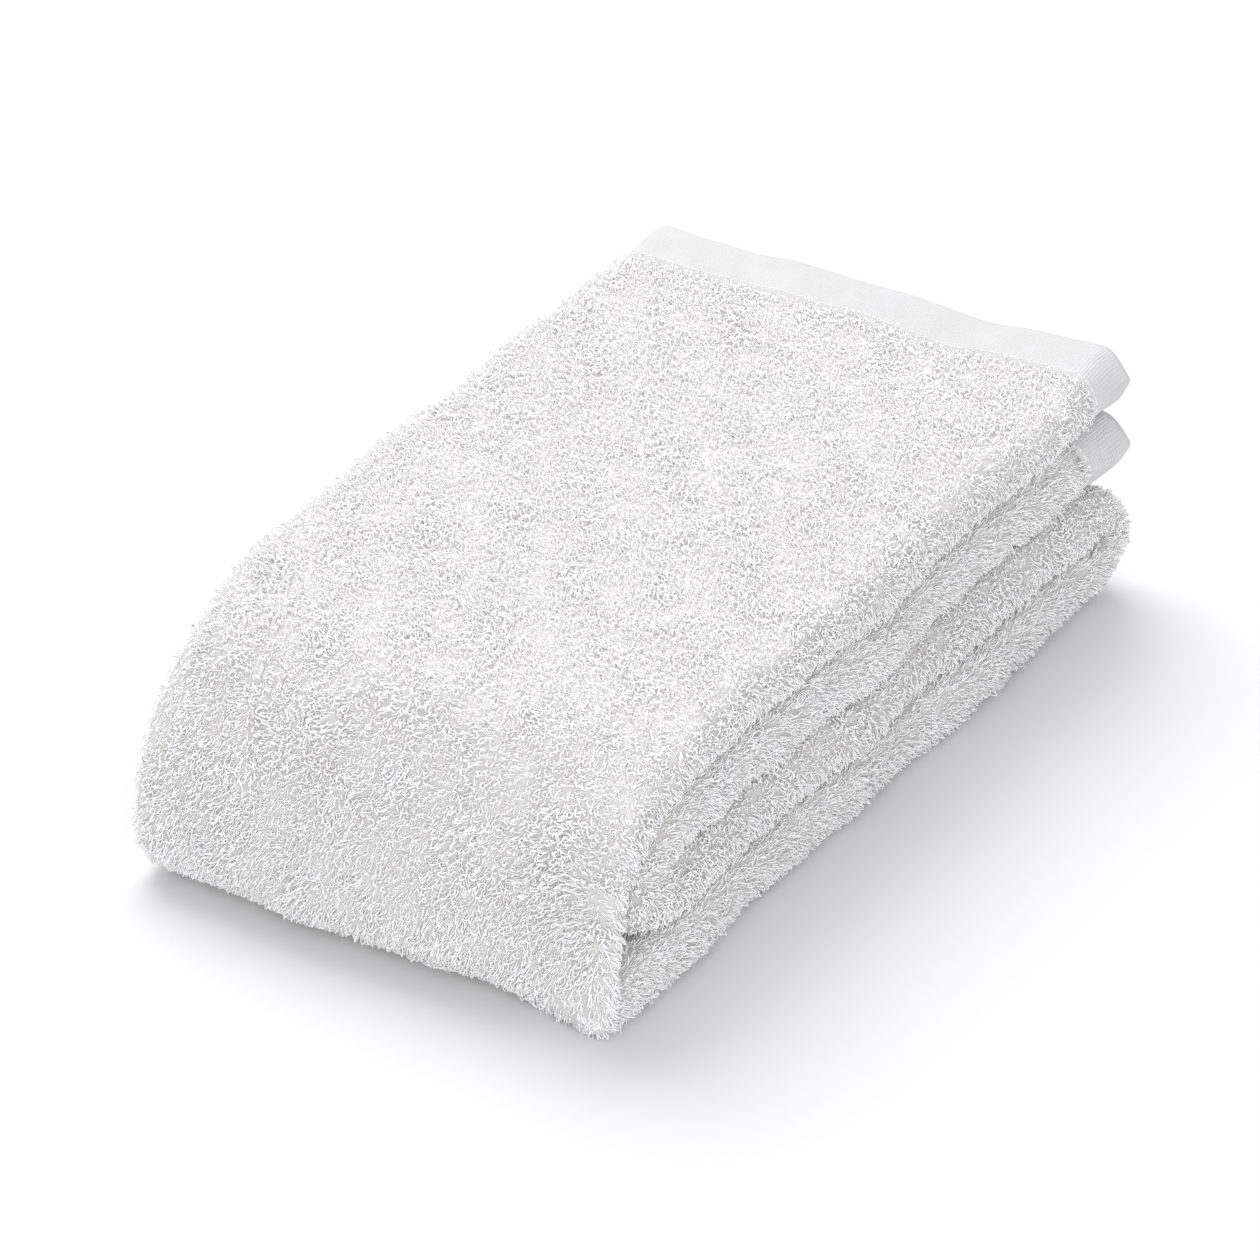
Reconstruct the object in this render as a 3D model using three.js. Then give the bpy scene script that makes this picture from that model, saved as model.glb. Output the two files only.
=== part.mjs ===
// A terry bath towel, folded into quarters lengthwise and then into quarters crosswise.
//
// Units are millimetres and +Z is up. X runs across the folded towel, with the rounded lengthwise fold
// on +X and the towel's two long edges on -X. Y runs along it, from the front folds (-Y) to the two
// hemmed ends (+Y). The origin is the middle of the flat face that the towel lies on.
//
// Crosswise the towel lies in four panels, and it runs through them in this order: top hem, top panel,
// outer front fold, bottom panel, far fold, third panel, inner front fold, second panel, second hem.
// Lengthwise each panel is four plies: a strip that turns back on itself at +X, at -X and at +X again.

import * as THREE from 'three';

// Driving dimensions.
const LENGTH = 350;          // folded length, along Y
const WIDTH = 194;           // folded width, along X
const HEIGHT = 94;           // folded height, along Z
const PANELS = 4;            // panels on top of each other
const PLIES = 4;             // plies in one panel
const PLY_GAP = 0.3;         // between two plies of a panel
const PANEL_GAP = 0.6;       // between two panels
const PIECE_GAP = 0.3;       // between pieces that are sewn or woven together
const HEM_WIDTH = 26;        // flat-woven band across each end of the towel
const HEM_THICKNESS = 2.4;   // the band is turned twice and sewn, and has no pile
const SECOND_HEM_INSET = 4;  // how far the second hem stops short of the top one
const SIDE_HEM_WIDTH = 8;    // narrow flat hem along each long edge
const THREAD_WIDTH = 1.2;    // the row of stitches that holds a hem
const THREAD_HEIGHT = 0.5;
const THREAD_INSET = 2;      // from the pile to the row of stitches
const SHOULDER = 45;         // how far the outer front fold rounds off at the top, at its middle
const TOE = 16;              // its radius at the bottom, where the weight of the pack squares it off
const INNER_FRONT_INSET = 57; // from the front of the pack to the centre of the inner front fold
const TURN_STEPS = 8;        // facets around a lengthwise turn
const FOLD_STEPS = 14;       // facets around a small crosswise fold
const OUTER_FOLD_STEPS = 20; // facets around the outer front fold

// Sizes that follow from them.
const PLY = (HEIGHT - (PANELS - 1) * PANEL_GAP - PANELS * (PLIES - 1) * PLY_GAP) / (PANELS * PLIES);
const PLY_PITCH = PLY + PLY_GAP;
const PANEL = PLIES * PLY + (PLIES - 1) * PLY_GAP;
const PANEL_PITCH = PANEL + PANEL_GAP;
const OUTER_PLY = 1.5 * PLY_PITCH;
const INNER_PLY = 0.5 * PLY_PITCH;
const TURN_X = WIDTH / 2 - PANEL / 2;
const FIRST_FOLD_X = -WIDTH / 2 + INNER_PLY + PLY / 2;
const EDGE_X = -WIDTH / 2 + SIDE_HEM_WIDTH;
const TOP_FRONT_Y = -LENGTH / 2 + PANEL / 2 + SHOULDER;
const BOTTOM_FRONT_Y = -LENGTH / 2 + PANEL / 2 + TOE;
const INNER_FRONT_Y = -LENGTH / 2 + INNER_FRONT_INSET;
const FAR_FOLD_RADIUS = PANEL + PANEL_GAP / 2;
const FAR_Y = LENGTH / 2 - FAR_FOLD_RADIUS;
const TOP_HEM_Y = LENGTH / 2 - HEM_WIDTH;
const SECOND_HEM_Y = TOP_HEM_Y - SECOND_HEM_INSET;

const pile = new THREE.MeshStandardMaterial({ color: 0xf6f5f1, roughness: 0.95, metalness: 0 });
const flatWeave = new THREE.MeshStandardMaterial({ color: 0xf3f2ee, roughness: 0.85, metalness: 0 });
const thread = new THREE.MeshStandardMaterial({ color: 0xfaf9f6, roughness: 0.6, metalness: 0 });

// Height of a panel's middle, counted from the bottom.
const panelZ = (index) => PANEL / 2 + index * PANEL_PITCH;
const BOTTOM_Z = panelZ(0);
const THIRD_Z = panelZ(1);
const SECOND_Z = panelZ(2);
const TOP_Z = panelZ(3);

// A section lies across the towel: x is measured across it and h up from the panel's middle.

// Points on an arc of a section, each with the direction in which the strip runs there.
function turn(x, h, radius, startAngle, sweep) {
  const points = [];
  for (let step = 0; step <= TURN_STEPS; step += 1) {
    const angle = startAngle + (sweep * step) / TURN_STEPS;
    const way = Math.sign(sweep);
    points.push({
      x: x + radius * Math.cos(angle),
      h: h + radius * Math.sin(angle),
      alongX: -way * Math.sin(angle),
      alongH: way * Math.cos(angle),
    });
  }
  return points;
}

// Centre line of the four plies, from one long edge of the cloth, at x = edge, to the other.
function plyLine(edge) {
  const half = Math.PI / 2;
  return [
    { x: edge, h: -OUTER_PLY, alongX: 1, alongH: 0 },
    ...turn(TURN_X, 0, OUTER_PLY, -half, Math.PI),
    ...turn(FIRST_FOLD_X, PLY_PITCH, INNER_PLY, half, Math.PI),
    ...turn(TURN_X, 0, INNER_PLY, half, -Math.PI),
    { x: edge, h: -INNER_PLY, alongX: -1, alongH: 0 },
  ];
}

// Outer part of that line only: once around the outside of the panel, as far as the first fold.
function outsideLine() {
  return plyLine(-WIDTH / 2).slice(0, TURN_STEPS + 3);
}

// Closed outline of a strip that lies between two distances to the right of its centre line.
function stripOutline(line, near, far) {
  const side = (distance) => line.map((p) => [p.x + p.alongH * distance, p.h - p.alongX * distance]);
  return [...side(near), ...side(far).reverse()];
}

function rectangleOutline(x0, x1, h, thickness) {
  return [
    [x0, h - thickness / 2],
    [x1, h - thickness / 2],
    [x1, h + thickness / 2],
    [x0, h + thickness / 2],
  ];
}

// The same section turned upside down, as it lies in every other panel.
const flipped = (outline) => outline.map(([x, h]) => [x, -h]);

// A path in the plane x = 0 that starts in the -Y direction: straight, half a turn down around X, or the
// outer front fold's, which is a quarter of an ellipse for the shoulder and a quarter circle for the toe.
class StraightRun extends THREE.Curve {
  constructor(y0, y1, z) {
    super();
    Object.assign(this, { y0, y1, z });
  }

  getPoint(t) {
    return new THREE.Vector3(0, this.y1 + (this.y0 - this.y1) * t, this.z);
  }
}

class HalfTurn extends THREE.Curve {
  constructor(y, z, radius) {
    super();
    Object.assign(this, { y, z, radius });
  }

  getPoint(t) {
    const angle = Math.PI * t;
    return new THREE.Vector3(
      0,
      this.y - this.radius * Math.sin(angle),
      this.z + this.radius * Math.cos(angle),
    );
  }

  getTangent(t) {
    const angle = Math.PI * t;
    return new THREE.Vector3(0, -Math.cos(angle), -Math.sin(angle));
  }
}

class ShoulderAndToe extends THREE.Curve {
  constructor(y0, z0, y1, z1) {
    super();
    const jointZ = z1 + TOE;
    const share = 0.75;
    Object.assign(this, { y0, y1, jointZ, drop: z0 - jointZ, share });
  }

  // Which quarter t is in, and the angle in it.
  quarter(t) {
    const upper = t < this.share;
    const part = upper ? t / this.share : (t - this.share) / (1 - this.share);
    return { upper, angle: (part * Math.PI) / 2 };
  }

  getPoint(t) {
    const { upper, angle } = this.quarter(t);
    return upper
      ? new THREE.Vector3(0, this.y0 - SHOULDER * Math.sin(angle), this.jointZ + this.drop * Math.cos(angle))
      : new THREE.Vector3(0, this.y1 - TOE * Math.cos(angle), this.jointZ - TOE * Math.sin(angle));
  }

  getTangent(t) {
    const { upper, angle } = this.quarter(t);
    return upper
      ? new THREE.Vector3(0, -SHOULDER * Math.cos(angle), -this.drop * Math.sin(angle)).normalize()
      : new THREE.Vector3(0, Math.sin(angle), -Math.cos(angle));
  }
}

// Sweeps a section along such a path. The sweep lays a shape's x along -Z and its y along +X.
function sweep(outline, path, steps) {
  const shape = new THREE.Shape(outline.map(([x, h]) => new THREE.Vector2(-h, x)));
  return new THREE.ExtrudeGeometry(shape, { extrudePath: path, steps, bevelEnabled: false });
}

const straight = (outline, y0, y1, z) => sweep(outline, new StraightRun(y0, y1, z), 1);
const innerFrontFold = (outline) => {
  return sweep(outline, new HalfTurn(INNER_FRONT_Y, HEIGHT / 2, PANEL_PITCH / 2), FOLD_STEPS);
};
const outerFrontFold = (outline) => {
  const path = new ShoulderAndToe(TOP_FRONT_Y, TOP_Z, BOTTOM_FRONT_Y, BOTTOM_Z);
  return sweep(outline, path, OUTER_FOLD_STEPS);
};

// The far fold is a front fold seen from the other end, so its section starts mirrored across X.
function farFold(outline) {
  const path = new HalfTurn(0, 0, FAR_FOLD_RADIUS - PANEL / 2);
  const geometry = sweep(outline.map(([x, h]) => [-x, h]), path, FOLD_STEPS);
  geometry.rotateZ(Math.PI);
  geometry.translate(0, FAR_Y, FAR_FOLD_RADIUS);
  return geometry;
}

const towel = new THREE.Group();
towel.name = 'folded_bath_towel';

function add(name, geometry, material) {
  const mesh = new THREE.Mesh(geometry, material);
  mesh.name = name;
  towel.add(mesh);
}

// Sections. The long edges lie in the lower plies of the top and third panels, and in the upper plies
// of the second and bottom panels.
const plies = stripOutline(plyLine(EDGE_X), -PLY / 2, PLY / 2);
const hemPlies = stripOutline(plyLine(-WIDTH / 2), -HEM_THICKNESS / 2, HEM_THICKNESS / 2);
const threadNear = HEM_THICKNESS / 2 + PIECE_GAP;
const threadRow = stripOutline(outsideLine(), threadNear, threadNear + THREAD_HEIGHT);
const sideHems = {
  a: rectangleOutline(-WIDTH / 2, EDGE_X - PIECE_GAP, -OUTER_PLY, HEM_THICKNESS),
  b: rectangleOutline(-WIDTH / 2, EDGE_X - PIECE_GAP, -INNER_PLY, HEM_THICKNESS),
};

// A straight stretch of the cloth that stops just short of what comes before and after it.
function panel(outline, y0, y1, z) {
  return straight(outline, y0 + PIECE_GAP, y1 - PIECE_GAP, z);
}

// One entry for each stretch of the cloth; what runs along the cloth is made for all of them.
const stretches = [
  ['top_panel', (o) => panel(o, TOP_FRONT_Y, TOP_HEM_Y, TOP_Z)],
  ['outer_front_fold', outerFrontFold],
  ['bottom_panel', (o) => panel(flipped(o), BOTTOM_FRONT_Y, FAR_Y, BOTTOM_Z)],
  ['far_fold', farFold],
  ['third_panel', (o) => panel(o, INNER_FRONT_Y, FAR_Y, THIRD_Z)],
  ['inner_front_fold', (o) => innerFrontFold(flipped(o))],
  ['second_panel', (o) => panel(flipped(o), INNER_FRONT_Y, SECOND_HEM_Y, SECOND_Z)],
];

for (const [name, run] of stretches) {
  add(name, run(plies), pile);
  for (const [edge, outline] of Object.entries(sideHems)) {
    add(`side_hem_${edge}_${name}`, run(outline), flatWeave);
  }
}

// A hem across one end of the towel, with its row of stitches, which runs once around the outside.
function endHem(name, y, z, turned) {
  const stitchY = y + THREAD_INSET;
  add(`${name}_hem`, straight(turned(hemPlies), y, y + HEM_WIDTH, z), flatWeave);
  add(`${name}_hem_thread`, straight(turned(threadRow), stitchY, stitchY + THREAD_WIDTH, z), thread);
}

endHem('top', TOP_HEM_Y, TOP_Z, (outline) => outline);
endHem('second', SECOND_HEM_Y, SECOND_Z, flipped);

export default towel;
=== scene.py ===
"""A folded terry bath towel: one cloth, laid out ply by ply, with hems, stitches and a real loop pile."""

import math

import bpy
import numpy as np
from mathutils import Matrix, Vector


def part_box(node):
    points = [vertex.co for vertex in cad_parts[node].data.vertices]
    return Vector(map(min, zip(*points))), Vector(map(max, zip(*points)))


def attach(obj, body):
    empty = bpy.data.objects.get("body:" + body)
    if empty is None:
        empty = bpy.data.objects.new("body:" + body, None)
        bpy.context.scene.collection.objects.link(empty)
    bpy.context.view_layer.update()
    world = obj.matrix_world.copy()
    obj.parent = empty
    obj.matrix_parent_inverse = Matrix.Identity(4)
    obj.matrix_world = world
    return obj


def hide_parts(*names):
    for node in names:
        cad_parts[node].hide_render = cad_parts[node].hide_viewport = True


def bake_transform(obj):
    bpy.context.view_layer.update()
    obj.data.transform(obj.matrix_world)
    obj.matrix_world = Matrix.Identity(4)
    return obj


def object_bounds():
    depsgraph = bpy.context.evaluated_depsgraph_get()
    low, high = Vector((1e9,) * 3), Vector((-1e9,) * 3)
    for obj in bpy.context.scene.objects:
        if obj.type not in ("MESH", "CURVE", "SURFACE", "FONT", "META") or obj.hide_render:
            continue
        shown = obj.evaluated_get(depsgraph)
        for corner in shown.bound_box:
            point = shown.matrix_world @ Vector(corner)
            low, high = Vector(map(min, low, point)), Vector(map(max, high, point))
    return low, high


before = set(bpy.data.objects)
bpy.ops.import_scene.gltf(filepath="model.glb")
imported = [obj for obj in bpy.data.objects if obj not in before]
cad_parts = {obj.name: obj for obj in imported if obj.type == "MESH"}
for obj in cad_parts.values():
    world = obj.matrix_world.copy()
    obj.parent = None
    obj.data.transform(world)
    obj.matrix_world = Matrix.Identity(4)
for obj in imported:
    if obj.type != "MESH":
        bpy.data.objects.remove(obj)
cad_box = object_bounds()
RNG = np.random.default_rng(11)
MM = 0.001

# Places of the folded panels, from the frame.
LENGTH = cad_box[1].y - cad_box[0].y
WIDTH = cad_box[1].x - cad_box[0].x
HEIGHT = cad_box[1].z
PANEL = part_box("bottom_panel")[1].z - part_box("bottom_panel")[0].z
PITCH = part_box("third_panel")[0].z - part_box("bottom_panel")[0].z
FRONT = cad_box[0].y + PANEL / 2
TOP_FRONT_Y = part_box("outer_front_fold")[1].y
INNER_FRONT_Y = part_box("inner_front_fold")[1].y
FAR_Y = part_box("far_fold")[0].y
TOP_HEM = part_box("top_hem")
SECOND_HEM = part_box("second_hem")
EDGE_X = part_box("side_hem_a_top_panel")[1].x

# The cloth: a panel is four plies, two on each side of its middle, with a small gap between them.
PLY_GAP = 0.3 * MM
PLY = (PANEL - 3 * PLY_GAP) / 4
PLY_PITCH = PLY + PLY_GAP
OUTER_PLY = 1.5 * PLY_PITCH
INNER_PLY = 0.5 * PLY_PITCH
GROUND = 2.4 * MM
HEM_THICKNESS = 2.2 * MM
TURN_X = WIDTH / 2 - PANEL / 2
FIRST_FOLD_X = -WIDTH / 2 + INNER_PLY + PLY / 2


# --- The run of the cloth: across it (s), along it (v), and off its middle (d) ---------------------------

# Widths across the cloth: first ply, outer turn, second ply, first fold, third ply, inner turn, fourth ply.
S_STEPS = np.array([
    TURN_X + WIDTH / 2,
    math.pi * OUTER_PLY,
    TURN_X - FIRST_FOLD_X,
    math.pi * INNER_PLY,
    TURN_X - FIRST_FOLD_X,
    math.pi * INNER_PLY,
    TURN_X + WIDTH / 2,
])
S = np.concatenate([[0], np.cumsum(S_STEPS)])

# The heights of the panels' middles, and the radii and extra reaches of the folds between them.
LEVEL = [PANEL / 2 + PITCH * i for i in range(4)]
SHOULDER = TOP_FRONT_Y - FRONT
TOE = 12 * MM
DROP = LEVEL[3] - LEVEL[0] - TOE
INNER_FOLD = PITCH / 2
FAR_REACH = 5 * MM
INNER_REACH = 8 * MM

# Lengths along it: top panel, shoulder and toe of the outer front fold, bottom panel, far fold, third
# panel, inner front fold, second panel.
V_STEPS = np.array([
    TOP_HEM[1].y - TOP_FRONT_Y,
    math.pi / 2 * math.sqrt((SHOULDER**2 + DROP**2) / 2),
    math.pi / 2 * TOE,
    FAR_Y - FRONT - TOE,
    math.pi * INNER_FOLD,
    FAR_Y - INNER_FRONT_Y,
    math.pi * INNER_FOLD,
    SECOND_HEM[1].y - INNER_FRONT_Y,
])
V = np.concatenate([[0], np.cumsum(V_STEPS)])
FAR_FOLD = 4
V_TOP_HEM = TOP_HEM[1].y - TOP_HEM[0].y
V_SECOND_HEM = V[8] - (SECOND_HEM[1].y - SECOND_HEM[0].y)

# How the outer turn differs from a half circle, tight in the pack and open at a hemmed end.
TURN_POWER = 0.55
OPEN_POINT = 0.95
OPEN_ROUND = 0.8
OUTER_OPENS = 1.3 * MM
INNER_OPENS = 0.9 * MM
OPEN_TO, CLOSED_FROM = 8 * MM, 45 * MM


def section(s, loose):
    """Place across the towel of the ply's middle, and the way to its right: x, h, normal x, normal h."""
    outer = OUTER_PLY + OUTER_OPENS * loose
    inner = INNER_PLY + INNER_OPENS * loose
    k = np.clip(np.searchsorted(S, s, side="right") - 1, 0, len(S_STEPS) - 1)
    t = (s - S[k]) / S_STEPS[k]
    swing = math.pi * (t - 0.5)
    point = 1 - np.abs(swing) / (math.pi / 2)
    full = np.abs(np.cos(swing)) ** TURN_POWER
    round_out = (1 - OPEN_ROUND * loose) * full + OPEN_POINT * loose * point
    ones, zeros = np.ones_like(s), np.zeros_like(s)
    turn_back = math.pi / 2 + math.pi * t
    x = np.choose(k, [
        -WIDTH / 2 + S_STEPS[0] * t,
        TURN_X + outer * round_out,
        TURN_X - S_STEPS[2] * t,
        FIRST_FOLD_X + inner * np.cos(turn_back),
        FIRST_FOLD_X + S_STEPS[4] * t,
        TURN_X + inner * np.cos(swing),
        TURN_X - S_STEPS[6] * t,
    ])
    h = np.choose(k, [
        -outer,
        outer * np.sin(swing),
        outer,
        (outer + inner) / 2 + (outer - inner) / 2 * np.sin(turn_back),
        inner,
        -inner * np.sin(swing),
        -inner,
    ])
    nx = np.choose(k, [zeros, np.cos(swing), zeros, np.cos(turn_back), zeros, -np.cos(swing), zeros])
    nh = np.choose(k, [-ones, np.sin(swing), ones, np.sin(turn_back), -ones, np.sin(swing), ones])
    return x, h, nx, nh


def run(v):
    """Place along the towel of a panel's middle, and the way its first-folded side faces: y, z, ny, nz."""
    k = np.clip(np.searchsorted(V, v, side="right") - 1, 0, len(V_STEPS) - 1)
    t = (v - V[k]) / V_STEPS[k]
    half, quarter = math.pi * t, math.pi / 2 * t
    ones, zeros = np.ones_like(v), np.zeros_like(v)
    slope = np.hypot(DROP * np.sin(quarter), SHOULDER * np.cos(quarter))
    y = np.choose(k, [
        TOP_HEM[1].y - V_STEPS[0] * t,
        TOP_FRONT_Y - SHOULDER * np.sin(quarter),
        FRONT + TOE * (1 - np.cos(quarter)),
        FRONT + TOE + V_STEPS[3] * t,
        FAR_Y + (INNER_FOLD + FAR_REACH) * np.sin(half),
        FAR_Y - V_STEPS[5] * t,
        INNER_FRONT_Y - (INNER_FOLD + INNER_REACH) * np.sin(half),
        INNER_FRONT_Y + V_STEPS[7] * t,
    ])
    z = np.choose(k, [
        LEVEL[3] * ones,
        LEVEL[0] + TOE + DROP * np.cos(quarter),
        LEVEL[0] + TOE * (1 - np.sin(quarter)),
        LEVEL[0] * ones,
        (LEVEL[0] + LEVEL[1]) / 2 - INNER_FOLD * np.cos(half),
        LEVEL[1] * ones,
        (LEVEL[1] + LEVEL[2]) / 2 - INNER_FOLD * np.cos(half),
        LEVEL[2] * ones,
    ])
    ny = np.choose(k, [
        zeros, -DROP * np.sin(quarter) / slope, -np.cos(quarter), zeros,
        np.sin(half), zeros, np.sin(half), zeros,
    ])
    nz = np.choose(k, [
        ones, SHOULDER * np.cos(quarter) / slope, -np.sin(quarter), -ones,
        -np.cos(half), ones, np.cos(half), -ones,
    ])
    squeeze = np.where(k == FAR_FOLD, 1 - FAR_REACH / (PANEL / 2) * np.sin(half), 1)
    return y, z, ny * squeeze, nz * squeeze


# Most values of a sum of n sine waves lie within the square root of this times n.
SWELL_RANGE = 1.2


class Swell:
    """Smooth noise in space, from about -1 to 1: the sum of a few sine waves between those wave lengths."""

    def __init__(self, shortest, longest, count=9):
        way = RNG.normal(size=(count, 3))
        way /= np.linalg.norm(way, axis=1)[:, None]
        self.k = way * (2 * math.pi / RNG.uniform(shortest, longest, (count, 1)))
        self.phase = RNG.uniform(0, 2 * math.pi, count)

    def __call__(self, p):
        return np.sin(p @ self.k.T + self.phase).sum(1) / math.sqrt(len(self.phase) * SWELL_RANGE)


def smooth(x, low, high):
    """0 up to low, 1 from high, and an even slope between them."""
    t = np.clip((x - low) / (high - low), 0, 1)
    return t * t * (3 - 2 * t)


# The shortest and longest waves of each unevenness.
TOP_WAVES, SIDE_WAVES = (0.07, 0.16), (0.05, 0.12)
DIMPLE_WAVES, SIDE_DIMPLE_WAVES = (0.02, 0.045), (0.018, 0.04)
rise, side, along = Swell(*TOP_WAVES), Swell(*SIDE_WAVES), Swell(*SIDE_WAVES)
dimple, side_dimple = Swell(*DIMPLE_WAVES), Swell(*SIDE_DIMPLE_WAVES)

# How far soft cloth moves from the ideal fold.
RISE, DIMPLE = 1.4 * MM, 0.5 * MM
SIDE_SWELL, SIDE_DIMPLE = 1.5 * MM, 0.6 * MM
END_SWELL = 1.5 * MM
HEM_LIFT, HEM_OUT = 1.5 * MM, 2.5 * MM
HEM_DIP, HEM_DIP_X, HEM_DIP_WIDTH = 3.5 * MM, 38 * MM, 27 * MM
RIGHT_SAG, FOOT_OUT = 2.5 * MM, 2 * MM
LEFT_SAG, SHOULDER_SAG, LEFT_IN = 6 * MM, 4 * MM, 3.5 * MM
FRONT_BOW, BOW_FADE = 10 * MM, 0.75
TUCK, TUCK_LENGTH = 14 * MM, 70 * MM

# Where each part of the pack sets in, and where it is whole: outwards from the middle, and up.
RIGHT_PART, RIGHT_EDGE = (40 * MM, 90 * MM), (WIDTH * 0.28, WIDTH * 0.5)
LEFT_PART, SIDE_PARTS = (0.0, WIDTH / 2), (20 * MM, 80 * MM)
END_PARTS, HEMMED_PART = (60 * MM, 150 * MM), (LENGTH * 0.3, LENGTH * 0.5)
FRONT_PART, SHOULDER_PART = (LENGTH * 0.1, LENGTH * 0.5), (LENGTH * 0.2, LENGTH * 0.4)
HIGH_PART = HEIGHT * 0.6, HEIGHT * 0.9


def settle(p):
    """Moves a point of the ideal fold to where soft cloth lies: slack, sagging edges and uneven bulges."""
    x, y, z = p.T
    up = z / HEIGHT
    right = smooth(x, *RIGHT_PART)
    right_edge = smooth(x, *RIGHT_EDGE)
    left = smooth(-x, *LEFT_PART)
    sides = smooth(abs(x), *SIDE_PARTS)
    ends = smooth(abs(y), *END_PARTS)
    front = smooth(-y, *FRONT_PART)
    shoulder = smooth(-y, *SHOULDER_PART)
    hemmed = smooth(y, *HEMMED_PART)
    low = 1 - smooth(z, *HIGH_PART)
    dip = np.exp(-(((x - HEM_DIP_X) / HEM_DIP_WIDTH) ** 2))
    moved = p.copy()
    moved[:, 2] += up * (RISE * rise(p) + DIMPLE * dimple(p) + HEM_LIFT * hemmed)
    moved[:, 2] -= up * RIGHT_SAG * right_edge * (1 - hemmed)
    moved[:, 2] -= up * (LEFT_SAG * front + SHOULDER_SAG * shoulder) * left
    moved[:, 2] -= up * HEM_DIP * hemmed * dip
    moved[:, 0] += (SIDE_SWELL * side(p) + SIDE_DIMPLE * side_dimple(p)) * sides
    moved[:, 0] += HEM_OUT * hemmed * right
    moved[:, 0] += FOOT_OUT * right * (1 - up)
    moved[:, 0] += LEFT_IN * front * left
    moved[:, 1] += END_SWELL * along(p) * ends
    moved[:, 1] -= FRONT_BOW * front * (1 - left) * (1 - BOW_FADE * up)
    moved[:, 1] -= TUCK * right * low * tuck(y)
    return moved


def tuck(y):
    """1 just inside the outer front fold, whose corner is stretched thin, and 0 before and behind it."""
    inside = FRONT + PANEL / 2
    return smooth(y, inside - PANEL, inside) * (1 - smooth(y, inside, inside + TUCK_LENGTH))


def looseness(v):
    """1 at a hemmed end, where the plies stand open, and 0 further in, where they are closed."""
    return 1 - smooth(np.minimum(v, V[8] - v), OPEN_TO, CLOSED_FROM)


def place(s, v, d):
    """Points of the folded cloth, in the row frame."""
    s, v, d = np.broadcast_arrays(np.asarray(s, float), v, d)
    x, h, nx, nh = section(s, looseness(v))
    y, z, ny, nz = run(v)
    off = h + nh * d
    return settle(np.stack([x + nx * d, y + off * ny, z + off * nz], 1))


# --- Meshes ----------------------------------------------------------------------------------------------

def make_object(name, points, quads, material, uv=None):
    """A mesh object from arrays: points (n, 3), quads (m, 4) and, if wanted, each point's (u, v)."""
    mesh = bpy.data.meshes.new(name)
    mesh.vertices.add(len(points))
    mesh.vertices.foreach_set("co", points.astype(np.float32).ravel())
    mesh.loops.add(quads.size)
    mesh.loops.foreach_set("vertex_index", quads.astype(np.int32).ravel())
    mesh.polygons.add(len(quads))
    mesh.polygons.foreach_set("loop_start", np.arange(0, quads.size, 4, dtype=np.int32))
    mesh.polygons.foreach_set("use_smooth", np.ones(len(quads), bool))
    if uv is not None:
        layer = mesh.uv_layers.new(name="cloth")
        layer.data.foreach_set("uv", uv[quads.ravel()].astype(np.float32).ravel())
    mesh.update(calc_edges=True)
    mesh.materials.append(material)
    piece = bpy.data.objects.new(name, mesh)
    bpy.context.scene.collection.objects.link(piece)
    return piece


# The grid's steps where the cloth lies flat, in its turns and in its folds, and which stretches those are.
FLAT_STEP, TURN_STEP, FOLD_STEP = 5 * MM, 1.1 * MM, 2.2 * MM
TURNS, FOLDS = (2, 4, 6), (2, 3, 5, 7)


def evenly(low, high, step):
    """Values from low to high, about that step apart."""
    return np.linspace(low, high, max(2, round((high - low) / step) + 1))


def across(low, high, step=FLAT_STEP):
    """Places across the cloth: close together in its turns, further apart where it lies flat."""
    stops = [low] + [b for b in S if low < b < high] + [high]
    values = []
    for a, b in zip(stops, stops[1:]):
        turning = np.searchsorted(S, (a + b) / 2) in TURNS
        values.append(evenly(a, b, TURN_STEP if turning else step)[:-1])
    return np.concatenate([*values, [high]])


def lengthwise(low, high):
    """Places along the cloth: close together in its folds."""
    stops = [low] + [b for b in V if low < b < high] + [high]
    values = []
    for a, b in zip(stops, stops[1:]):
        folding = np.searchsorted(V, (a + b) / 2) in FOLDS
        values.append(evenly(a, b, FOLD_STEP if folding else FLAT_STEP)[:-1])
    return np.concatenate([*values, [high]])


def cloth(name, s_values, v_values, thickness, material, rounded=0.0):
    """A closed sheet that follows the fold, as thick as is asked, thinner by rounded at its rims."""
    rows, columns = len(v_values), len(s_values)
    v, s = np.meshgrid(v_values, s_values, indexing="ij")
    thin = np.ones((rows, columns))
    thin[[0, -1], :] = 1 - rounded
    thin[:, [0, -1]] = 1 - rounded
    half = thickness / 2 * thin.ravel()
    upper = place(s.ravel(), v.ravel(), half)
    lower = place(s.ravel(), v.ravel(), -half)
    index = np.arange(rows * columns).reshape(rows, columns)
    a, b, c, e = index[:-1, :-1], index[:-1, 1:], index[1:, 1:], index[1:, :-1]
    face = np.stack([a, b, c, e], -1).reshape(-1, 4)
    other = face[:, ::-1] + rows * columns
    rim = np.concatenate([index[0, :], index[1:, -1], index[-1, -2::-1], index[-2:0:-1, 0]])
    after = np.roll(rim, -1)
    wall = np.stack([after, rim, rim + rows * columns, after + rows * columns], 1)
    uv = np.tile(np.stack([s.ravel(), v.ravel()], 1), (2, 1))
    points = np.concatenate([upper, lower])
    return make_object(name, points, np.concatenate([face, other, wall]), material, uv)


def tube_mesh(centres, normals, radius, sides):
    """Rings of points round many short centre lines at once: centres and normals are (n, rings, 3)."""
    ahead = np.gradient(centres, axis=1)
    ahead /= np.linalg.norm(ahead, axis=2)[..., None]
    across_it = np.cross(ahead, normals)
    across_it /= np.linalg.norm(across_it, axis=2)[..., None]
    upright = np.cross(across_it, ahead)
    angle = 2 * math.pi * np.arange(sides) / sides
    ring = across_it[:, :, None] * np.cos(angle)[:, None] + upright[:, :, None] * np.sin(angle)[:, None]
    return centres[:, :, None] + ring * radius


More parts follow.
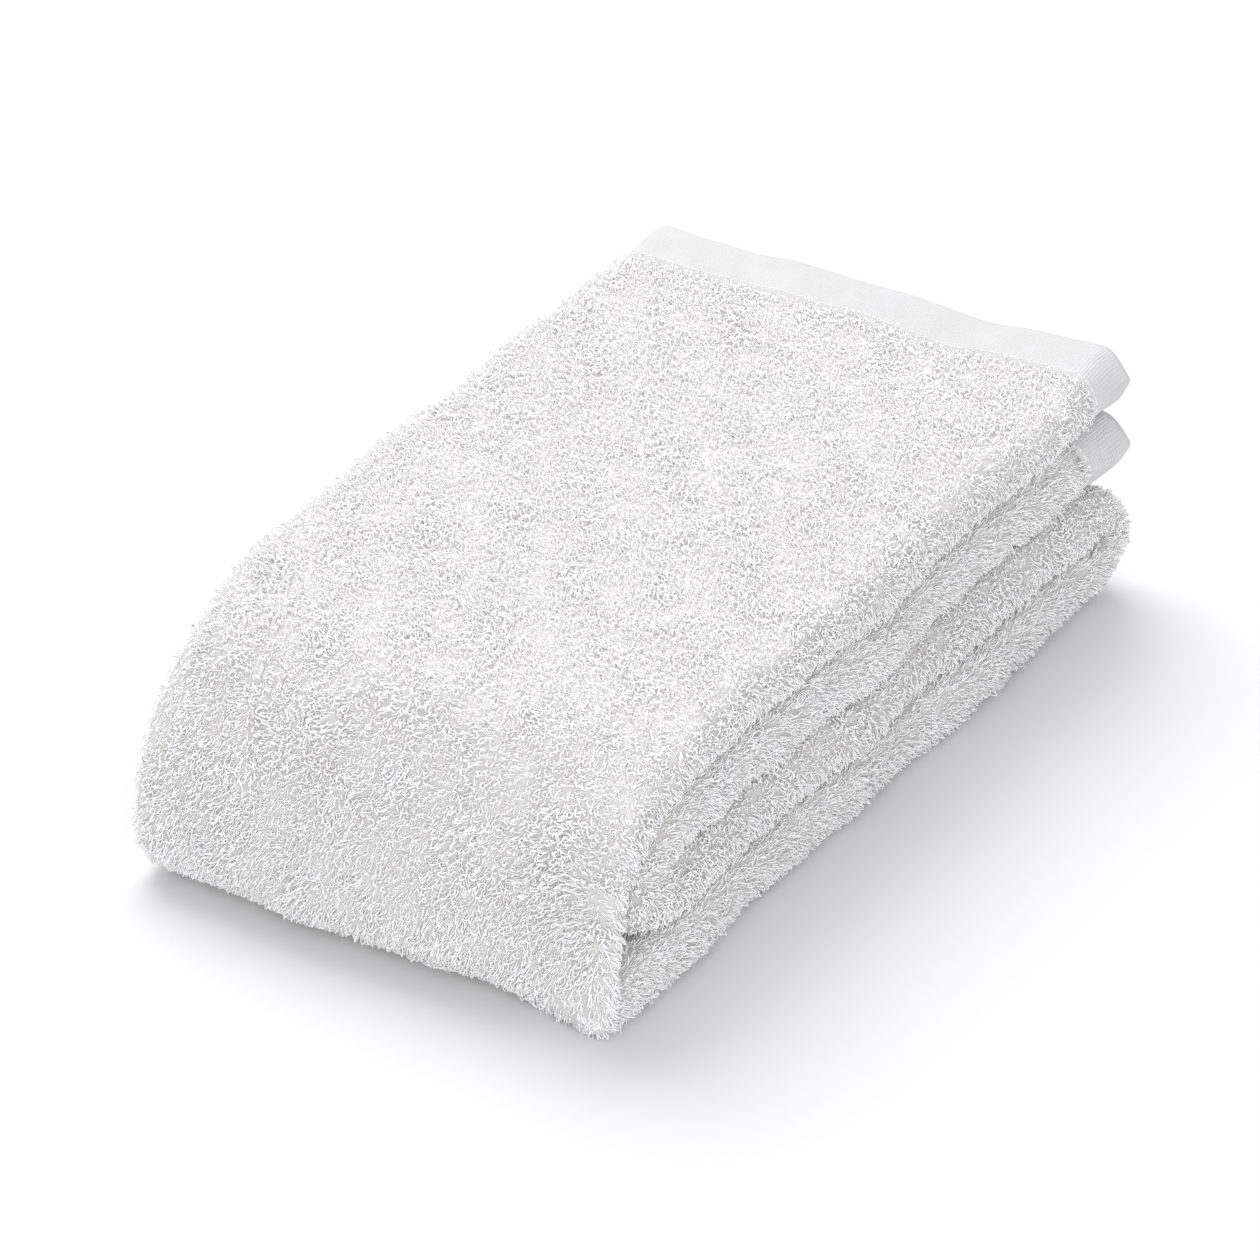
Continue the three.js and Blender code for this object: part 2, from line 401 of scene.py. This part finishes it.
def tube_quads(rings, sides):
    """Quads of one open tube."""
    r, k = np.meshgrid(np.arange(rings - 1), np.arange(sides), indexing="ij")
    r, k = r.ravel(), k.ravel()
    after = (k + 1) % sides
    return np.stack([r * sides + k, r * sides + after, (r + 1) * sides + after, (r + 1) * sides + k], 1)


def repeat_quads(quads, points_each, count):
    """The same quads for each of count copies of the points."""
    return (quads[None] + points_each * np.arange(count)[:, None, None]).reshape(-1, 4)


# A stitch rises above the hem in the middle and goes into it at both ends, in thread radii.
STITCH_RINGS, STITCH_SIDES = 5, 6
STITCH_RISE, STITCH_ARCH = 0.5, 3.2


def stitches(name, s_values, v_values, d, length, radius, material):
    """A row of stitches whose middles are at (s, v), each lying along the row."""
    rings, sides = STITCH_RINGS, STITCH_SIDES
    t = np.linspace(-0.5, 0.5, rings)
    ds = np.gradient(s_values)
    dv = np.gradient(v_values)
    whole = np.hypot(ds, dv)
    s = s_values[:, None] + t * length * (ds / whole)[:, None]
    v = v_values[:, None] + t * length * (dv / whole)[:, None]
    lift = d + radius * (STITCH_RISE - STITCH_ARCH * t**2) * np.sign(d)
    lift = np.broadcast_to(lift, s.shape)
    flat = place(s.ravel(), v.ravel(), lift.ravel())
    above = place(s.ravel(), v.ravel(), lift.ravel() + np.sign(d) * MM)
    centres = flat.reshape(*s.shape, 3)
    normals = (above - flat).reshape(*s.shape, 3)
    points = tube_mesh(centres, normals, radius, sides)
    quads = repeat_quads(tube_quads(rings, sides), rings * sides, len(s_values))
    return make_object(name, points.reshape(-1, 3), quads, material)


# --- Pile ------------------------------------------------------------------------------------------------

LOOP_POINTS = 6
YARN_SIDES = 3
YARN = 0.28 * MM
LOOP_WIDTHS = 1.2 * MM, 2.0 * MM
LOOP_HEIGHTS = 2.8 * MM, 3.7 * MM
LOOP_LEANS = -0.1, 0.35
LOOP_TWISTS = -0.35, 0.35
LOOP_PINCH = 0.7
LOOP_SHAPE_COUNT = 16
LOOPS_PER_PIECE = 5400
FLOOR_GAP = 0.1 * MM

# Which way the loops lie, in radians: more to the side and less flat where the cloth is steep, and
# a few straight up. Their size drifts in tufts.
SIDEWAYS, SIDEWAYS_STEEP, SIDEWAYS_SPREAD = 0.45, 0.4, 0.7
LEAN, LEAN_STEEP, LEAN_COMB, LEAN_SPREAD = 0.8, 0.15, 0.15, 0.2
UPRIGHT, FLATTEST = 0.1, 1.25
STRAY_SHARE = 0.05
TUFT, SIZE_SPREAD = 0.12, 0.06

# Neighbouring loops agree over waves of these lengths: in their way, their lean and their size.
CLUMP_WAVES, COMB_WAVES, TUFT_WAVES = (0.008, 0.02), (0.01, 0.03), (0.012, 0.03)
WAVE_COUNT = 12
clump, comb = Swell(*CLUMP_WAVES, WAVE_COUNT), Swell(*COMB_WAVES, WAVE_COUNT)
tuft = Swell(*TUFT_WAVES, WAVE_COUNT)


def loop_shape():
    """Points of one closed ring of yarn that stands on its narrow end: x across it, z up."""
    width = RNG.uniform(*LOOP_WIDTHS)
    height = RNG.uniform(*LOOP_HEIGHTS)
    lean, twist = RNG.uniform(*LOOP_LEANS), RNG.uniform(*LOOP_TWISTS)
    turn = 2 * math.pi * np.arange(LOOP_POINTS) / LOOP_POINTS
    up = (1 - np.cos(turn)) / 2
    centre = np.stack([
        width / 2 * np.sin(turn) * np.sin(turn / 2) ** LOOP_PINCH,
        lean * height * up**2 + twist * width * np.sin(turn),
        height * up,
    ], 1)
    ahead = np.roll(centre, -1, 0) - np.roll(centre, 1, 0)
    ahead /= np.linalg.norm(ahead, axis=1)[:, None]
    flank = np.cross(ahead, (0, 1, 0))
    flank /= np.linalg.norm(flank, axis=1)[:, None]
    other = np.cross(flank, ahead)
    angle = 2 * math.pi * np.arange(YARN_SIDES)[:, None] / YARN_SIDES
    ring = flank[:, None] * np.cos(angle) + other[:, None] * np.sin(angle)
    return (centre[:, None] + YARN * ring).reshape(-1, 3)


LOOP_SHAPES = np.array([loop_shape() for _ in range(LOOP_SHAPE_COUNT)])


def loop_quads():
    """Quads of one closed ring."""
    r, k = np.meshgrid(np.arange(LOOP_POINTS), np.arange(YARN_SIDES), indexing="ij")
    r, k = r.ravel(), k.ravel()
    row, after = r * YARN_SIDES, (r + 1) % LOOP_POINTS * YARN_SIDES
    beside = (k + 1) % YARN_SIDES
    return np.stack([row + k, after + k, after + beside, row + beside], 1)


def unit(a):
    """The same ways, each one long."""
    return a / np.linalg.norm(a, axis=1)[:, None]


def frames(s, v, d):
    """Place of each root, and three unit ways from it: along the cloth, across it and out of it."""
    step = 0.2 * MM
    root = place(s, v, d)
    out = unit(place(s, v, d + np.sign(d) * step) - root)
    along_it = place(s, v + step, d) - place(s, v - step, d)
    along_it = unit(along_it - out * (along_it * out).sum(1)[:, None])
    return root, along_it, np.cross(along_it, out), out


def measure(s, v, d):
    """How long a step across and a step along the cloth really are there, as shares of the flat ones."""
    step = 0.5 * MM
    wide = np.linalg.norm(place(s + step, v, d) - place(s - step, v, d), axis=1) / (2 * step)
    long = np.linalg.norm(place(s, v + step, d) - place(s, v - step, d), axis=1) / (2 * step)
    return wide, long


# A stretch is measured at this many places, and this percentile is taken as its most stretched. Each
# root then strays from its place in an even, staggered grid by up to this share of the spacing.
SAMPLES, STRETCHED = 400, 97
STRAY = 0.4


def roots(s0, s1, v0, v1, d, spacing):
    """Evenly scattered places on a stretch of the cloth's face, as far apart there as asked."""
    s, v = RNG.uniform(s0, s1, SAMPLES), RNG.uniform(v0, v1, SAMPLES)
    wide, long = measure(s, v, d)
    most = np.percentile(wide, STRETCHED), np.percentile(long, STRETCHED)
    columns = max(1, round((s1 - s0) * most[0] / spacing))
    rows = max(1, round((v1 - v0) * most[1] / spacing))
    i, j = np.meshgrid(np.arange(columns), np.arange(rows))
    i, j = i.ravel(), j.ravel()
    s = s0 + (s1 - s0) * (i + 0.5 * (j % 2) + 0.25 + RNG.uniform(-STRAY, STRAY, len(i))) / columns
    v = v0 + (v1 - v0) * (j + 0.5 + RNG.uniform(-STRAY, STRAY, len(i))) / rows
    s = np.clip(s, s0, s1)
    wide, long = measure(s, v, d)
    keep = RNG.uniform(0, 1, len(s)) < wide * long / (most[0] * most[1])
    return s[keep], v[keep]


# How far in from each side the plies' hidden faces carry loops.
SEEN_RIGHT, SEEN_LEFT, SEEN_FAR = 24 * MM, 12 * MM, 38 * MM


def near_a_side(p):
    """True near the sides of the pack, where a face between two plies can be seen from outside."""
    x, y, _ = p.T
    return (x > WIDTH / 2 - SEEN_RIGHT) | (x < -WIDTH / 2 + SEEN_LEFT) | (y > LENGTH / 2 - SEEN_FAR)


# Keeps a ring's way defined where its spin is just a quarter turn.
TINY = 1e-9


def loop_ways(root, along_it, across_it, out):
    """Each loop's unit ways: x across its ring, y through it, z up it. Combed along the cloth, then spun."""
    n = len(root)
    steep = 1 - np.abs(out[:, 2])
    way = (SIDEWAYS + SIDEWAYS_STEEP * steep) * (clump(root) + RNG.normal(0, SIDEWAYS_SPREAD, n))
    lean = LEAN - LEAN_STEEP * steep + LEAN_COMB * comb(root) + RNG.normal(0, LEAN_SPREAD, n)
    lean = np.clip(lean, UPRIGHT, FLATTEST)
    lean = np.where(RNG.uniform(0, 1, n) < STRAY_SHARE, UPRIGHT, lean)
    level = along_it * np.cos(way)[:, None] + across_it * np.sin(way)[:, None]
    z = out * np.cos(lean)[:, None] + level * np.sin(lean)[:, None]
    spin = RNG.uniform(0, 2 * math.pi, n)
    x = unit(np.cross(level, z)) * np.cos(spin)[:, None]
    x = unit(x + unit(np.cross(z, x + TINY)) * np.sin(spin)[:, None])
    return x, np.cross(z, x), z


def loops(s, v, d, hidden):
    """Points (n, points of a ring, 3) of loops that grow at those places."""
    s, v, d = np.broadcast_arrays(s, v, d)
    root, along_it, across_it, out = frames(s, v, d)
    if hidden:
        keep = near_a_side(root)
        root, along_it, across_it, out = root[keep], along_it[keep], across_it[keep], out[keep]
    n = len(root)
    x, y, z = loop_ways(root, along_it, across_it, out)
    size = (1 + TUFT * tuft(root) + RNG.normal(0, SIZE_SPREAD, n))[:, None, None]
    shape = LOOP_SHAPES[RNG.integers(0, len(LOOP_SHAPES), n)] * size
    points = root[:, None] + shape[..., :1] * x[:, None]
    points = points + shape[..., 1:2] * y[:, None] + shape[..., 2:] * z[:, None]
    points[..., 2] = np.maximum(points[..., 2], FLOOR_GAP)
    return points


# --- Materials -------------------------------------------------------------------------------------------

# Each cloth's two tints, and the length of the patches it drifts between them in.
YARN_TINTS = (0.982, 0.98, 0.968), (0.997, 0.997, 0.995), 14 * MM
# Painted shade: the ground is darker and creamier than the yarn, as shade in the hollows between the loops.
GROUND_SHADE_TINTS = (0.965, 0.95, 0.915), (0.985, 0.98, 0.96), 10 * MM
# Painted shade: the hem's white cotton is painted grey, as shade within its weave.
WEAVE_SHADE_TINTS = (0.66, 0.66, 0.655), (0.695, 0.695, 0.692), 12 * MM
THREAD_TINTS = (0.86, 0.86, 0.85), (0.92, 0.92, 0.91), 5 * MM
RIB_ACROSS, RIB_ALONG, RIB_DEPTH = 1.0 * MM, 1.3 * MM, 0.12 * MM
TWIST, TWIST_DEPTH = 0.5 * MM, 0.08 * MM
GRAIN, GRAIN_DEPTH = 0.9 * MM, 0.5 * MM

# A wave texture of scale 1 repeats after this length.
WAVE_LENGTH = 2 * math.pi / 20

# Every cloth's shine, and how fine the noises in its colour and its grain are.
SPECULAR, SHEEN_ROUGHNESS = 0.15, 0.6
PATCH_DETAIL, PATCH_ROUGHNESS, PATCH_STOPS = 3.0, 0.6, (0.35, 0.65)
GRAIN_DETAIL = 2.0


def new_material(name, roughness, sheen):
    """A matt material, with its node tree and its shader."""
    material = bpy.data.materials.new(name)
    material.use_nodes = True
    shader = material.node_tree.nodes["Principled BSDF"]
    shader.inputs["Roughness"].default_value = roughness
    shader.inputs["Specular IOR Level"].default_value = SPECULAR
    shader.inputs["Sheen Weight"].default_value = sheen
    shader.inputs["Sheen Roughness"].default_value = SHEEN_ROUGHNESS
    return material, material.node_tree, shader


def add_node(tree, kind, **values):
    """A shader node with some of its inputs set by name."""
    node = tree.nodes.new(kind)
    for name, value in values.items():
        node.inputs[name.replace("_", " ")].default_value = value
    return node


def mottle(tree, shader, low, high, patch):
    """Lets the base colour drift between two tints, in patches about that long."""
    place_in = add_node(tree, "ShaderNodeTexCoord")
    fineness = {"Detail": PATCH_DETAIL, "Roughness": PATCH_ROUGHNESS}
    noise = add_node(tree, "ShaderNodeTexNoise", Scale=1 / patch, **fineness)
    ramp = tree.nodes.new("ShaderNodeValToRGB")
    for end, position, tint in zip(ramp.color_ramp.elements, PATCH_STOPS, (low, high)):
        end.position = position
        end.color = (*tint, 1)
    tree.links.new(place_in.outputs["Object"], noise.inputs["Vector"])
    tree.links.new(noise.outputs["Fac"], ramp.inputs["Fac"])
    tree.links.new(ramp.outputs["Color"], shader.inputs["Base Color"])


def ribs(tree, vector, direction, pitch):
    """Even ribs that far apart, as a wave texture."""
    wave = add_node(tree, "ShaderNodeTexWave", Scale=WAVE_LENGTH / pitch)
    wave.bands_direction = direction
    tree.links.new(vector, wave.inputs["Vector"])
    return wave.outputs["Fac"]


def relief(tree, shader, height, depth):
    """Gives the surface a bump that follows a height from 0 to 1, that deep."""
    bump = add_node(tree, "ShaderNodeBump", Distance=depth, Strength=1.0)
    tree.links.new(height, bump.inputs["Height"])
    tree.links.new(bump.outputs["Normal"], shader.inputs["Normal"])


def pile_material():
    """Cotton yarn, slightly warmer in patches."""
    material, tree, shader = new_material("terry_yarn", roughness=0.9, sheen=0.05)
    mottle(tree, shader, *YARN_TINTS)
    return material


def ground_material():
    """The ground weave under the loops: rough, with painted shade that makes it darker and creamier than
    they are.
    """
    material, tree, shader = new_material("terry_ground", roughness=0.95, sheen=0.05)
    mottle(tree, shader, *GROUND_SHADE_TINTS)
    noise = add_node(tree, "ShaderNodeTexNoise", Scale=1 / GRAIN, Detail=GRAIN_DETAIL)
    relief(tree, shader, noise.outputs["Fac"], GRAIN_DEPTH)
    return material


def weave_material():
    """Flat plain weave: fine ribs both ways, which follow the cloth, and painted shade that greys its white.
    """
    material, tree, shader = new_material("flat_weave", roughness=0.85, sheen=0.05)
    mottle(tree, shader, *WEAVE_SHADE_TINTS)
    cloth_map = tree.nodes.new("ShaderNodeUVMap")
    cloth_map.uv_map = "cloth"
    both = tree.nodes.new("ShaderNodeMath")
    both.operation = "ADD"
    tree.links.new(ribs(tree, cloth_map.outputs["UV"], "X", RIB_ACROSS), both.inputs[0])
    tree.links.new(ribs(tree, cloth_map.outputs["UV"], "Y", RIB_ALONG), both.inputs[1])
    relief(tree, shader, both.outputs["Value"], RIB_DEPTH)
    return material


def thread_material():
    """Twisted sewing thread."""
    material, tree, shader = new_material("sewing_thread", roughness=0.6, sheen=0.1)
    mottle(tree, shader, *THREAD_TINTS)
    place_in = add_node(tree, "ShaderNodeTexCoord")
    relief(tree, shader, ribs(tree, place_in.outputs["Object"], "DIAGONAL", TWIST), TWIST_DEPTH)
    return material


pile, ground, weave, thread = pile_material(), ground_material(), weave_material(), thread_material()


# --- The towel -------------------------------------------------------------------------------------------

# The side hem's width, how far off the cloth's middle the loops grow, and the gap beside a side hem.
EDGE = EDGE_X + WIDTH / 2
ROOT = 0.45 * MM
SEAM = 0.4 * MM
DENSE, SIDE, MEDIUM = 1.48 * MM, 1.9 * MM, 2.6 * MM
HIDDEN = "hidden"

# How far apart the loops stand on each stretch along the cloth, on the parts that make the outside of a
# panel: its first ply, its outer turn, its second ply and its first fold.
TOP_STRETCHES = [
    (V_TOP_HEM, V[1], (MEDIUM, DENSE, DENSE, SIDE)),
    (V[1], V[2], (MEDIUM, DENSE, DENSE, SIDE)),
    (V[2], V[3], (MEDIUM, DENSE, DENSE, SIDE)),
]
STACK_STRETCHES = [
    (V[3], V[4], (HIDDEN, DENSE, HIDDEN, SIDE)),
    (V[4], V[5], (HIDDEN, DENSE, SIDE, SIDE)),
    (V[5], V[6], (HIDDEN, DENSE, HIDDEN, SIDE)),
    (V[6], V[7], (MEDIUM, DENSE, HIDDEN, SIDE)),
    (V[7], V_SECOND_HEM, (MEDIUM, DENSE, HIDDEN, SIDE)),
]
PARTS = [(EDGE, S[1]), (S[1], S[2]), (S[2], S[3]), (S[3], S[4])]

HEM_STEP, HEM_STEP_ACROSS = 2 * MM, 3 * MM
HEM_ROUNDED = 0.6


def pile_pieces(name, stretches, material):
    """The loops of those stretches, as objects with a limited number of loops each."""
    groups = []
    for v0, v1, spacings in stretches:
        for (s0, s1), spacing in zip(PARTS, spacings):
            hidden = spacing == HIDDEN
            s, v = roots(s0, s1, v0, v1, ROOT, SIDE if hidden else spacing)
            groups.append(loops(s, v, ROOT, hidden))
    points = np.concatenate(groups)
    quads = loop_quads()
    count = math.ceil(len(points) / LOOPS_PER_PIECE)
    pieces = []
    for i, part in enumerate(np.array_split(points, count)):
        flat = part.reshape(-1, 3)
        here = repeat_quads(quads, LOOP_POINTS * YARN_SIDES, len(part))
        pieces.append(make_object(f"{name}_{i + 1:02d}", flat, here, material))
    return pieces


def terry(name, low, high):
    """The ground weave of a stretch of the cloth, between the side hems."""
    return cloth(name, across(EDGE, S[7] - EDGE), lengthwise(low, high), GROUND, ground)


def hem(name, s_values, v_values):
    """A flat-woven hem, which is thinner at its rims."""
    return cloth(name, s_values, v_values, HEM_THICKNESS, weave, HEM_ROUNDED)


top_cloth = terry("terry_top", V_TOP_HEM, V[3])
stack_cloth = terry("terry_stack", V[3], V_SECOND_HEM)
hem_across = across(0, S[7], HEM_STEP_ACROSS)
top_hem = hem("top_hem_band", hem_across, evenly(0, V_TOP_HEM, HEM_STEP))
second_hem = hem("second_hem_band", hem_across, evenly(V_SECOND_HEM, V[8], HEM_STEP))
pile_top = pile_pieces("pile_top", TOP_STRETCHES, pile)
pile_stack = pile_pieces("pile_stack", STACK_STRETCHES, pile)

# A stitch's length, pitch and thread radius, and how far the row is in from the pile's edge.
STITCH, STITCH_PITCH, STITCH_RADIUS = 2.4 * MM, 3 * MM, 0.25 * MM
STITCHES_IN = 2.6 * MM
EDGES = {"a": (0, EDGE - SEAM), "b": (S[7] - EDGE + SEAM, S[7])}
EDGE_ROWS = {"a": EDGE - STITCHES_IN, "b": S[7] - EDGE + STITCHES_IN}


def side_hems(edge, part, low, high):
    """The narrow hem along one long edge of the cloth, and its row of stitches."""
    name = f"side_hem_{edge}_{part}"
    band = hem(name, evenly(*EDGES[edge], HEM_STEP), lengthwise(low, high))
    row = evenly(low + STITCH, high - STITCH, STITCH_PITCH)
    where = np.full_like(row, EDGE_ROWS[edge])
    sewn = stitches(f"{name}_stitches", where, row, HEM_THICKNESS / 2, STITCH, STITCH_RADIUS, thread)
    return band, sewn


def hem_stitches(name, v):
    """The row of stitches along an end hem, around the outside of the folded panel."""
    row = evenly(STITCH, S[3] - STITCH, STITCH_PITCH)
    return stitches(name, row, np.full_like(row, v), HEM_THICKNESS / 2, STITCH, STITCH_RADIUS, thread)


top_sides = {edge: side_hems(edge, "top", V_TOP_HEM, V[3]) for edge in EDGES}
stack_sides = {edge: side_hems(edge, "stack", V[3], V_SECOND_HEM) for edge in EDGES}
top_hem_stitches = hem_stitches("top_hem_stitches", V_TOP_HEM - STITCHES_IN)
second_hem_stitches = hem_stitches("second_hem_stitches", V_SECOND_HEM + STITCHES_IN)


# --- Camera, light and floor -----------------------------------------------------------------------------

AZIMUTH = math.radians(31.0)
ELEVATION = math.radians(30.0)
DISTANCE = 2.407
LENS = 200
CLIP_END = 20
TARGET = (0.004, -0.0122, 0.045)
FLOOR_SIZE = 12
FLOOR_COLOUR = (0.8, 0.8, 0.8, 1)

# Light that passes from loop to loop keeps the white pile bright inside.
BOUNCES = 24


def add_camera():
    """A long lens that looks down at the near corner."""
    camera = bpy.data.objects.new("camera", bpy.data.cameras.new("camera"))
    camera.data.lens = LENS
    camera.data.clip_end = CLIP_END
    back = np.array([
        math.sin(AZIMUTH) * math.cos(ELEVATION),
        -math.cos(AZIMUTH) * math.cos(ELEVATION),
        math.sin(ELEVATION),
    ])
    camera.location = np.array(TARGET) + back * DISTANCE
    camera.rotation_euler = (math.pi / 2 - ELEVATION, 0, AZIMUTH)
    bpy.context.scene.collection.objects.link(camera)
    bpy.context.scene.camera = camera


def add_light(name, place_at, size, power, colour):
    """A square softbox that faces the towel."""
    light = bpy.data.objects.new(name, bpy.data.lights.new(name, "AREA"))
    light.data.size = size
    light.data.energy = power
    light.data.color = colour
    light.location = place_at
    way = -np.array(place_at)
    light.rotation_euler = (
        math.atan2(math.hypot(way[0], way[1]), -way[2]),
        0,
        math.atan2(way[1], way[0]) - math.pi / 2,
    )
    bpy.context.scene.collection.objects.link(light)


def add_floor():
    """A plain pale floor."""
    bpy.ops.mesh.primitive_plane_add(size=FLOOR_SIZE)
    floor = bpy.context.object
    floor.name = "floor"
    material, _, shader = new_material("floor", roughness=1.0, sheen=0)
    shader.inputs["Base Color"].default_value = FLOOR_COLOUR
    floor.data.materials.append(material)


def add_world(colour, strength):
    """Even light from all round."""
    world = bpy.data.worlds.new("studio")
    bpy.context.scene.world = world
    world.use_nodes = True
    background = world.node_tree.nodes["Background"]
    background.inputs["Color"].default_value = (*colour, 1)
    background.inputs["Strength"].default_value = strength


add_camera()
add_floor()
add_light("key", place_at=(-1.05, 0.8, 2.0), size=2.0, power=47, colour=(1, 0.995, 0.985))
add_light("fill", place_at=(1.15, -1.75, 0.64), size=2.0, power=29, colour=(0.985, 0.98, 1))
add_world(colour=(0.955, 0.953, 1), strength=0.66)
bpy.context.scene.view_settings.view_transform = "Standard"
bpy.context.scene.cycles.max_bounces = BOUNCES
bpy.context.scene.cycles.diffuse_bounces = BOUNCES

# --- How the pieces move, and which parts of the model they stand for ------------------------------------

TOP_NODES = ["top_panel", "outer_front_fold"]
STACK_NODES = ["bottom_panel", "far_fold", "third_panel", "inner_front_fold", "second_panel"]

top_edging = [piece for pair in top_sides.values() for piece in pair]
stack_edging = [piece for pair in stack_sides.values() for piece in pair]

for piece in (top_cloth, *pile_top, *top_edging):
    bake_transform(piece)
for piece in (stack_cloth, *pile_stack, *stack_edging):
    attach(piece, "folded_stack")
for piece in (top_hem, top_hem_stitches):
    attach(piece, "top_flap")
for piece in (second_hem, second_hem_stitches):
    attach(piece, "folded_stack")

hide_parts(*TOP_NODES)
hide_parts(*STACK_NODES)
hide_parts("top_hem")
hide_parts("second_hem")
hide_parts("top_hem_thread")
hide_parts("second_hem_thread")
for edge in EDGES:
    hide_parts(*(f"side_hem_{edge}_{node}" for node in TOP_NODES))
    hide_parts(*(f"side_hem_{edge}_{node}" for node in STACK_NODES))
